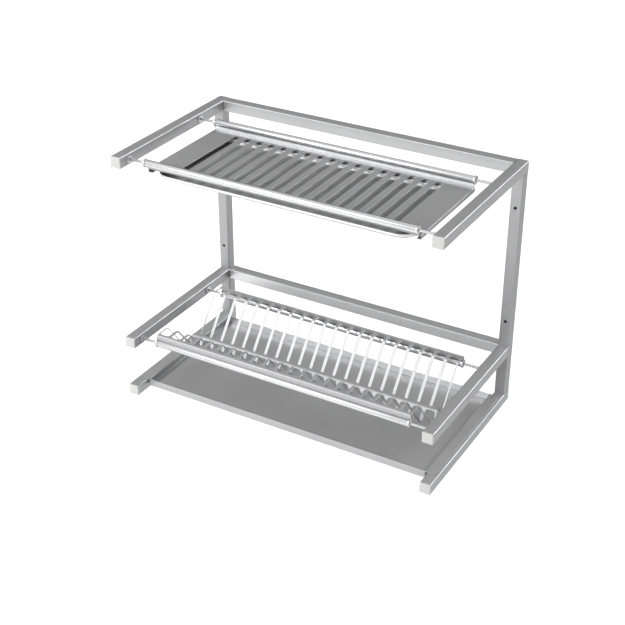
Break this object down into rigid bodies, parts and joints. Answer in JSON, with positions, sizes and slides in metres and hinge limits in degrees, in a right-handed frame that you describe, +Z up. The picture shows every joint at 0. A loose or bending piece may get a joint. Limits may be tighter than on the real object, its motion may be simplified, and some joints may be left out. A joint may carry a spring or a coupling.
{
  "type": "wall-mounted dish rack",
  "caption": "Wall-mounted steel dish rack: slotted shelf over a sliding drip pan, folded two-valley plate rack, and a sliding drip tray between square-tube side frames.",
  "frame": {"origin": "centre of the four wall holes, on the wall plane that the posts' rear faces lie on", "axes": "+X along the wall to the right as seen from the front, +Y into the wall, +Z up"},
  "size_m": [0.76, 0.411, 0.585],
  "materials": {
    "tube_steel": "brushed",
    "sheet_steel": "satin",
    "polished_steel": "polished",
    "cap_plastic": "matte"
  },
  "bodies": {
    "frame": {"left_post": "tube_steel", "right_post": "tube_steel", "left_top_arm": "tube_steel", "right_top_arm": "tube_steel", "left_middle_arm": "tube_steel", "right_middle_arm": "tube_steel", "left_bottom_arm": "tube_steel", "right_bottom_arm": "tube_steel", "top_cross_tube": "tube_steel", "middle_cross_tube": "tube_steel", "left_top_cap": "cap_plastic", "right_top_cap": "cap_plastic", "left_middle_cap": "cap_plastic", "right_middle_cap": "cap_plastic", "left_bottom_cap": "cap_plastic", "right_bottom_cap": "cap_plastic", "shelf_sheet": "sheet_steel", "shelf_front_tube": "polished_steel", "shelf_rear_tube": "polished_steel", "shelf_front_rod": "polished_steel", "shelf_rear_rod": "polished_steel", "shelf_bushes": "polished_steel", "shelf_collars": "tube_steel", "plate_rack_sheet": "sheet_steel", "rack_front_tube": "polished_steel", "rack_rear_tube": "polished_steel", "rack_front_rod": "polished_steel", "rack_rear_rod": "polished_steel", "rack_bushes": "polished_steel", "rack_collars": "tube_steel", "middle_arm_plugs": "tube_steel"},
    "pan": {"drip_pan": "sheet_steel"},
    "tray": {"drip_tray": "sheet_steel"}
  },
  "joints": [
    {"name": "pan_slide", "type": "slide", "parent": "frame", "child": "pan", "axis": [0, -1, 0], "range_m": [0, 0.2]},
    {"name": "tray_slide", "type": "slide", "parent": "frame", "child": "tray", "axis": [0, -1, 0], "range_m": [0, 0.2]}
  ]
}
